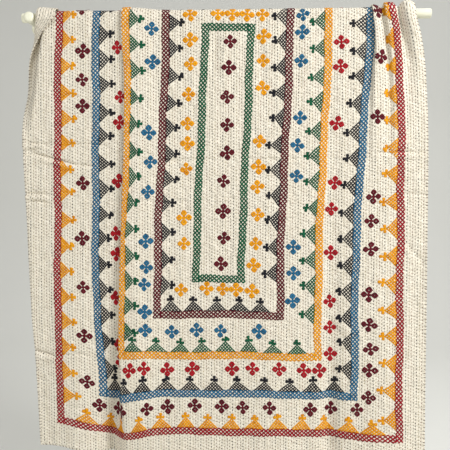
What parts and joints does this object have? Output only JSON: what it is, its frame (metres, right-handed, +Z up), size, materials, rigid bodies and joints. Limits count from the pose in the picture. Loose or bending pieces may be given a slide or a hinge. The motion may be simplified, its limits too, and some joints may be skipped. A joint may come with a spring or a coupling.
{
  "type": "kantha quilt on a wall pole",
  "caption": "Cream cotton kantha quilt with nested embroidered borders, draped over a round painted pole on wall brackets.",
  "frame": {"origin": "on the wall plane, level with the pole axis and midway along the pole", "axes": "+X along the pole to the right of someone facing the quilt, -Y from the wall towards them, +Z up"},
  "size_m": [1.525, 0.1456, 1.7093],
  "materials": {
    "cream_cotton": "cream cotton, quilted all over in rows of running stitch, with thread lattice bands in red, blue, ochre, maroon and green",
    "ivory_paint": "turned wood with satin ivory paint"
  },
  "bodies": {
    "root": {"quilt": "cream_cotton", "pole": "ivory_paint", "left_arm": "ivory_paint", "right_arm": "ivory_paint", "left_rose": "ivory_paint", "right_rose": "ivory_paint"}
  },
  "joints": []
}
